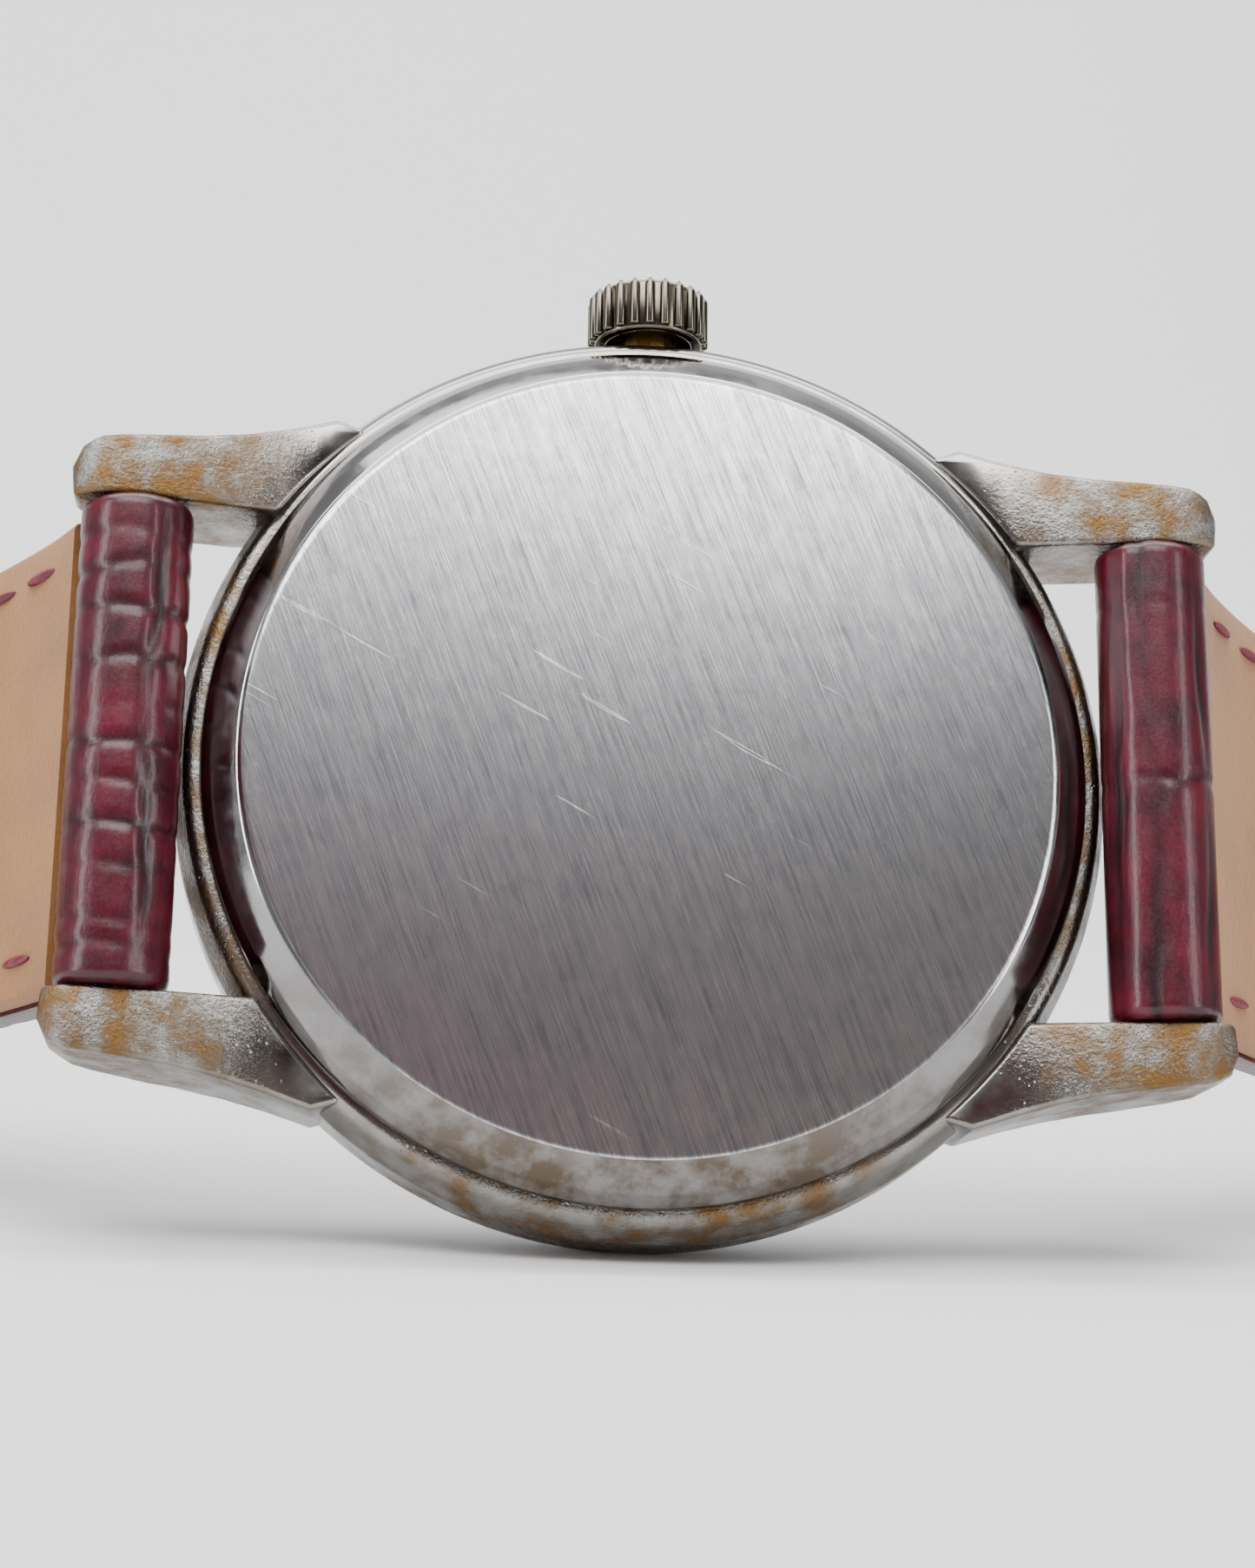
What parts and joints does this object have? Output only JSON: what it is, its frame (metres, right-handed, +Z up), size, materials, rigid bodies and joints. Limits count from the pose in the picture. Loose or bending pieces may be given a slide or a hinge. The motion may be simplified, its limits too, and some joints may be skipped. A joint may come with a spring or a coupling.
{
  "type": "mechanical wristwatch",
  "caption": "Hand-wound round wristwatch with a press-fit back, fluted crown, lugs and a two-piece leather strap with a tang buckle.",
  "frame": {"origin": "middle of the footprint, on the surface that the watch stands on", "axes": "+X towards 12 o'clock along the spread strap, +Z up towards the crown, and the case back faces -Y"},
  "size_m": [0.211, 0.0416, 0.0358],
  "materials": {
    "chrome_plate": "worn chrome plate over brass",
    "brushed_back": "coarsely brushed stainless steel",
    "steel": "polished steel",
    "brass": "gilt brass",
    "nickel": "nickel-plated brass",
    "blued_steel": "blued steel",
    "acrylic": "clear domed acrylic",
    "dial_paint": "silvered lacquer",
    "gasket_rubber": "black rubber",
    "burgundy_leather": "glossy crocodile-embossed calf",
    "tan_lining": "matt lining leather"
  },
  "bodies": {
    "case": {"case_middle": "chrome_plate", "bezel": "chrome_plate", "crystal": "acrylic", "crown_tube": "brass", "movement_ring": "brass", "main_plate": "nickel", "barrel_bridge": "nickel", "train_bridge": "nickel", "pallet_cock": "nickel", "balance_cock": "nickel", "barrel_bridge_screw_1": "blued_steel", "barrel_bridge_screw_2": "blued_steel", "barrel_bridge_screw_3": "blued_steel", "train_bridge_screw_1": "blued_steel", "train_bridge_screw_2": "blued_steel", "pallet_cock_screw": "blued_steel", "balance_cock_screw": "blued_steel", "crown_wheel_core": "blued_steel", "hairspring": "blued_steel", "dial": "dial_paint"},
    "back": {"case_back": "brushed_back", "case_back_gasket": "gasket_rubber"},
    "winding_pinion": {"winding_pinion": "steel"},
    "stem": {"winding_stem": "steel", "crown": "chrome_plate"},
    "clutch": {"sliding_clutch": "steel"},
    "setting_lever": {"setting_lever": "steel"},
    "yoke": {"yoke": "steel"},
    "crown_wheel": {"crown_wheel": "steel"},
    "ratchet": {"ratchet_wheel": "steel", "barrel_arbor": "steel"},
    "click": {"click": "steel"},
    "seconds": {"fourth_wheel": "brass", "seconds_hand": "blued_steel"},
    "third": {"third_wheel": "brass"},
    "minutes": {"center_wheel": "brass", "cannon_pinion": "steel", "minute_hand": "blued_steel"},
    "barrel": {"barrel": "brass"},
    "escape": {"escape_wheel": "steel"},
    "minute_wheel": {"minute_wheel": "brass"},
    "hours": {"hour_wheel": "brass", "hour_hand": "blued_steel"},
    "setting_wheel": {"setting_wheel": "steel"},
    "fork": {"pallet_fork": "steel"},
    "balance": {"balance_wheel": "brass"},
    "strap_6": {"strap_6_outer": "burgundy_leather", "strap_6_lining": "tan_lining", "spring_bar_6": "steel"},
    "bar_tip_6": {"spring_bar_6_tip": "steel"},
    "strap_12": {"strap_12_outer": "burgundy_leather", "strap_12_lining": "tan_lining", "spring_bar_12": "steel", "fixed_keeper": "burgundy_leather"},
    "bar_tip_12": {"spring_bar_12_tip": "steel"},
    "keeper": {"sliding_keeper": "burgundy_leather"},
    "buckle": {"buckle_frame": "chrome_plate", "buckle_spring_bar": "steel"},
    "tongue": {"buckle_tongue": "chrome_plate"}
  },
  "joints": [
    {"name": "case_back_lift", "type": "slide", "parent": "case", "child": "back", "axis": [0, -0.9613, 0.2756], "range_m": [0, 0.012]},
    {"name": "crown_turn", "type": "hinge", "parent": "case", "child": "winding_pinion", "pos_m": [0.00997, -0.01083, 0.02572], "axis": [0, 0.2756, 0.9613], "continuous": true},
    {"name": "crown_pull", "type": "slide", "parent": "winding_pinion", "child": "stem", "axis": [0, 0.2756, 0.9613], "range_m": [0, 0.0007]},
    {"name": "clutch_shift", "type": "slide", "parent": "winding_pinion", "child": "clutch", "axis": [0, 0.2756, 0.9613], "range_m": [-0.0007, 0]},
    {"name": "setting_lever_turn", "type": "hinge", "parent": "case", "child": "setting_lever", "pos_m": [0.00707, -0.01025, 0.02773], "axis": [0, -0.9613, 0.2756], "range_deg": [0, 15.72]},
    {"name": "yoke_turn", "type": "hinge", "parent": "case", "child": "yoke", "pos_m": [0.00597, -0.01148, 0.02346], "axis": [0, -0.9613, 0.2756], "range_deg": [-12.21, 0]},
    {"name": "crown_wheel_turn", "type": "hinge", "parent": "case", "child": "crown_wheel", "pos_m": [0.01237, -0.01127, 0.02419], "axis": [0, -0.9613, 0.2756], "continuous": true},
    {"name": "ratchet_turn", "type": "hinge", "parent": "case", "child": "ratchet", "pos_m": [0.01575, -0.0128, 0.01885], "axis": [0, -0.9613, 0.2756], "continuous": true},
    {"name": "click_rock", "type": "hinge", "parent": "case", "child": "click", "pos_m": [0.02052, -0.01252, 0.0198], "axis": [0, -0.9613, 0.2756], "range_deg": [-8, 0], "stiffness_Nm_per_rad": 0.000001, "springref_deg": 11.46},
    {"name": "seconds_turn", "type": "hinge", "parent": "case", "child": "seconds", "pos_m": [0.00357, -0.01338, 0.01683], "axis": [0, -0.9613, 0.2756], "continuous": true},
    {"name": "third_turn", "type": "hinge", "parent": "case", "child": "third", "pos_m": [0.00616, -0.01251, 0.01986], "axis": [0, -0.9613, 0.2756], "continuous": true},
    {"name": "minutes_turn", "type": "hinge", "parent": "case", "child": "minutes", "pos_m": [0.00997, -0.01338, 0.01682], "axis": [0, -0.9613, 0.2756], "continuous": true},
    {"name": "barrel_turn", "type": "hinge", "parent": "case", "child": "barrel", "pos_m": [0.01575, -0.0128, 0.01885], "axis": [0, -0.9613, 0.2756], "continuous": true},
    {"name": "escape_turn", "type": "hinge", "parent": "case", "child": "escape", "pos_m": [0.00487, -0.01436, 0.01341], "axis": [0, -0.9613, 0.2756], "continuous": true},
    {"name": "minute_wheel_turn", "type": "hinge", "parent": "case", "child": "minute_wheel", "pos_m": [0.00997, -0.01277, 0.01894], "axis": [0, -0.9613, 0.2756], "continuous": true},
    {"name": "hours_turn", "type": "hinge", "parent": "case", "child": "hours", "pos_m": [0.00997, -0.01338, 0.01682], "axis": [0, -0.9613, 0.2756], "continuous": true},
    {"name": "setting_wheel_turn", "type": "hinge", "parent": "case", "child": "setting_wheel", "pos_m": [0.00997, -0.01204, 0.02148], "axis": [0, -0.9613, 0.2756], "continuous": true},
    {"name": "fork_rock", "type": "hinge", "parent": "case", "child": "fork", "pos_m": [0.00691, -0.01482, 0.01179], "axis": [0, -0.9613, 0.2756], "range_deg": [-5, 5]},
    {"name": "balance_swing", "type": "hinge", "parent": "case", "child": "balance", "pos_m": [0.00941, -0.01539, 0.0098], "axis": [0, -0.9613, 0.2756], "range_deg": [-270, 270], "stiffness_Nm_per_rad": 0.00000018},
    {"name": "strap_6_hinge", "type": "hinge", "parent": "case", "child": "strap_6", "pos_m": [-0.0087, -0.0153, 0.01738], "axis": [0, 0.2756, 0.9613], "range_deg": [-12, 150]},
    {"name": "bar_tip_6_press", "type": "slide", "parent": "strap_6", "child": "bar_tip_6", "axis": [0, -0.2756, -0.9613], "range_m": [0, 0.0008], "stiffness_N_per_m": 50, "springref_m": -0.002},
    {"name": "strap_12_hinge", "type": "hinge", "parent": "case", "child": "strap_12", "pos_m": [0.02864, -0.0153, 0.01738], "axis": [0, 0.2756, 0.9613], "range_deg": [-150, 12]},
    {"name": "bar_tip_12_press", "type": "slide", "parent": "strap_12", "child": "bar_tip_12", "axis": [0, -0.2756, -0.9613], "range_m": [0, 0.0008], "stiffness_N_per_m": 50, "springref_m": -0.002},
    {"name": "keeper_slide", "type": "hinge", "parent": "strap_12", "child": "keeper", "pos_m": [0.07333, -0.03814, 0.02392], "axis": [0, 0.2756, 0.9613], "range_deg": [-4.98, 7.13]},
    {"name": "buckle_hinge", "type": "hinge", "parent": "strap_12", "child": "buckle", "pos_m": [0.09303, 0.00667, 0.01107], "axis": [0, 0.2756, 0.9613], "range_deg": [-60, 15]},
    {"name": "tongue_hinge", "type": "hinge", "parent": "buckle", "child": "tongue", "pos_m": [0.09303, 0.00667, 0.01107], "axis": [0, 0.2756, 0.9613], "range_deg": [0, 90]}
  ],
  "couplings": [
    {"joint": "clutch_shift", "follows": "crown_pull", "ratio": -1},
    {"joint": "setting_lever_turn", "follows": "crown_pull", "rad_per_m": 387.02},
    {"joint": "yoke_turn", "follows": "crown_pull", "rad_per_m": -299.55},
    {"joint": "crown_wheel_turn", "follows": "crown_turn", "ratio": -0.48276},
    {"joint": "ratchet_turn", "follows": "crown_turn", "ratio": 0.38889},
    {"joint": "third_turn", "follows": "seconds_turn", "ratio": -0.13333},
    {"joint": "minutes_turn", "follows": "seconds_turn", "ratio": 0.016667},
    {"joint": "barrel_turn", "follows": "seconds_turn", "ratio": -0.0023148},
    {"joint": "escape_turn", "follows": "seconds_turn", "ratio": -10},
    {"joint": "minute_wheel_turn", "follows": "seconds_turn", "ratio": -0.0055556},
    {"joint": "hours_turn", "follows": "seconds_turn", "ratio": 0.0013889},
    {"joint": "setting_wheel_turn", "follows": "seconds_turn", "ratio": 0.0092593}
  ]
}
